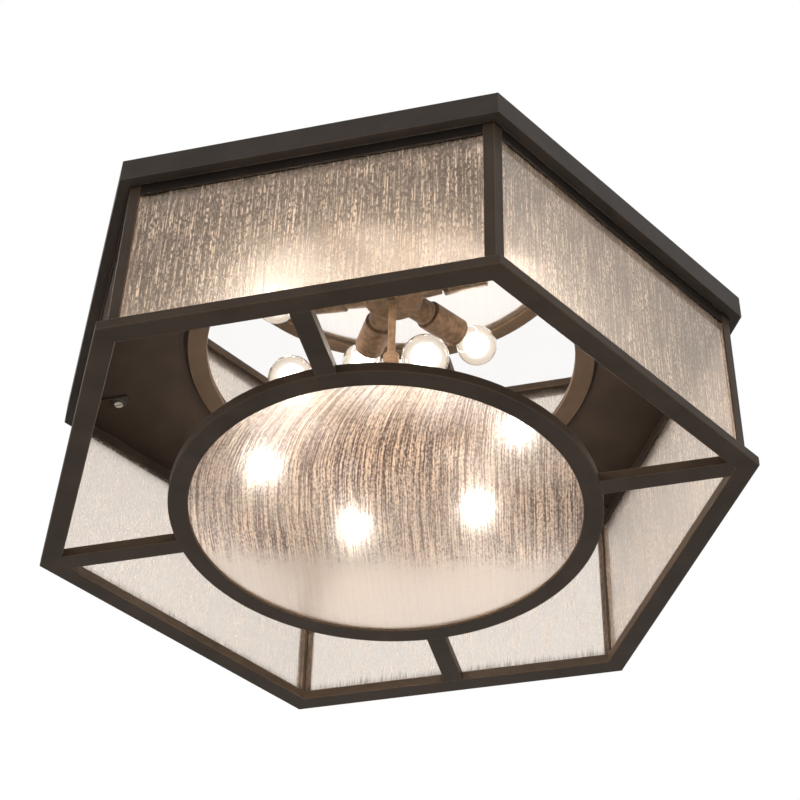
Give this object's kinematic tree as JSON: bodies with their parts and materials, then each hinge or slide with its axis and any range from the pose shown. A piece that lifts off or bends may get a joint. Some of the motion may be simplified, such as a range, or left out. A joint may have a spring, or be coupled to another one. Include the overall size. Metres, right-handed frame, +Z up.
{
  "type": "flush mount ceiling light",
  "caption": "Hexagonal lantern light for a ceiling: dark bronze cage with seeded glass sides, open base with a round glass window, and a lamp cluster under a mirror.",
  "frame": {"origin": "centre of the mounting strap's upper face, in the plane of the ceiling", "axes": "+Z up into the ceiling, +X towards a corner of the hexagon and along the strap's slots"},
  "size_m": [0.7078, 0.613, 0.214],
  "materials": {
    "bronze_finish": "satin dark bronze powder coat",
    "zinc_steel": "bright zinc plating",
    "silvered_mirror": "silvered glass, polished",
    "seeded_glass": "clear seeded glass with fine drawn streaks",
    "lamp_glass": "clear blown glass",
    "lamp_cap_brass": "stamped brass",
    "contact_brass": "stamped brass",
    "phenolic_liner": "moulded phenolic",
    "foam_gasket": "closed-cell foam"
  },
  "bodies": {
    "fixture": {"ceiling_plate": "bronze_finish", "ceiling_band": "bronze_finish", "ceiling_gasket": "foam_gasket", "mounting_strap": "zinc_steel", "stem": "bronze_finish", "stem_nuts": "bronze_finish", "stem_collar": "bronze_finish", "mirror_disc": "silvered_mirror", "mirror_ring": "bronze_finish", "mirror_ring_nuts": "zinc_steel", "corner_nuts": "zinc_steel", "cluster_hub": "bronze_finish", "hub_cover": "bronze_finish", "hub_finial": "bronze_finish", "socket_liners": "phenolic_liner", "socket_contacts": "contact_brass", "socket_shell_1": "bronze_finish", "socket_shell_2": "bronze_finish", "socket_shell_3": "bronze_finish", "socket_shell_4": "bronze_finish", "socket_shell_5": "bronze_finish", "socket_shell_6": "bronze_finish"},
    "cage": {"corner_bar_1": "bronze_finish", "corner_bar_2": "bronze_finish", "corner_bar_3": "bronze_finish", "corner_bar_4": "bronze_finish", "corner_bar_5": "bronze_finish", "corner_bar_6": "bronze_finish", "corner_screws": "zinc_steel", "top_rail_1": "bronze_finish", "top_rail_2": "bronze_finish", "top_rail_3": "bronze_finish", "top_rail_4": "bronze_finish", "top_rail_5": "bronze_finish", "top_rail_6": "bronze_finish", "glass_panel_1": "seeded_glass", "glass_panel_2": "seeded_glass", "glass_panel_3": "seeded_glass", "glass_panel_4": "seeded_glass", "glass_panel_5": "seeded_glass", "glass_panel_6": "seeded_glass", "bottom_frame": "bronze_finish", "window_ring": "bronze_finish", "spoke_1": "bronze_finish", "spoke_2": "bronze_finish", "spoke_3": "bronze_finish", "spoke_4": "bronze_finish"},
    "window": {"window_glass": "seeded_glass"},
    "bulb_1": {"bulb_glass_1": "lamp_glass", "bulb_cap_1": "lamp_cap_brass"},
    "bulb_2": {"bulb_glass_2": "lamp_glass", "bulb_cap_2": "lamp_cap_brass"},
    "bulb_3": {"bulb_glass_3": "lamp_glass", "bulb_cap_3": "lamp_cap_brass"},
    "bulb_4": {"bulb_glass_4": "lamp_glass", "bulb_cap_4": "lamp_cap_brass"},
    "bulb_5": {"bulb_glass_5": "lamp_glass", "bulb_cap_5": "lamp_cap_brass"},
    "bulb_6": {"bulb_glass_6": "lamp_glass", "bulb_cap_6": "lamp_cap_brass"}
  },
  "joints": [
    {"name": "cage_lower", "type": "slide", "parent": "fixture", "child": "cage", "axis": [0, 0, -1], "range_m": [0, 0.2]},
    {"name": "window_lift", "type": "slide", "parent": "cage", "child": "window", "axis": [0, 0, 1], "range_m": [0, 0.04]},
    {"name": "bulb_1_unscrew", "type": "slide", "parent": "fixture", "child": "bulb_1", "axis": [0.9945, 0, -0.1045], "range_m": [0, 0.03]},
    {"name": "bulb_2_unscrew", "type": "slide", "parent": "fixture", "child": "bulb_2", "axis": [0.4973, 0.8613, -0.1045], "range_m": [0, 0.03]},
    {"name": "bulb_3_unscrew", "type": "slide", "parent": "fixture", "child": "bulb_3", "axis": [-0.4973, 0.8613, -0.1045], "range_m": [0, 0.03]},
    {"name": "bulb_4_unscrew", "type": "slide", "parent": "fixture", "child": "bulb_4", "axis": [-0.9945, 0, -0.1045], "range_m": [0, 0.03]},
    {"name": "bulb_5_unscrew", "type": "slide", "parent": "fixture", "child": "bulb_5", "axis": [-0.4973, -0.8613, -0.1045], "range_m": [0, 0.03]},
    {"name": "bulb_6_unscrew", "type": "slide", "parent": "fixture", "child": "bulb_6", "axis": [0.4973, -0.8613, -0.1045], "range_m": [0, 0.03]}
  ]
}
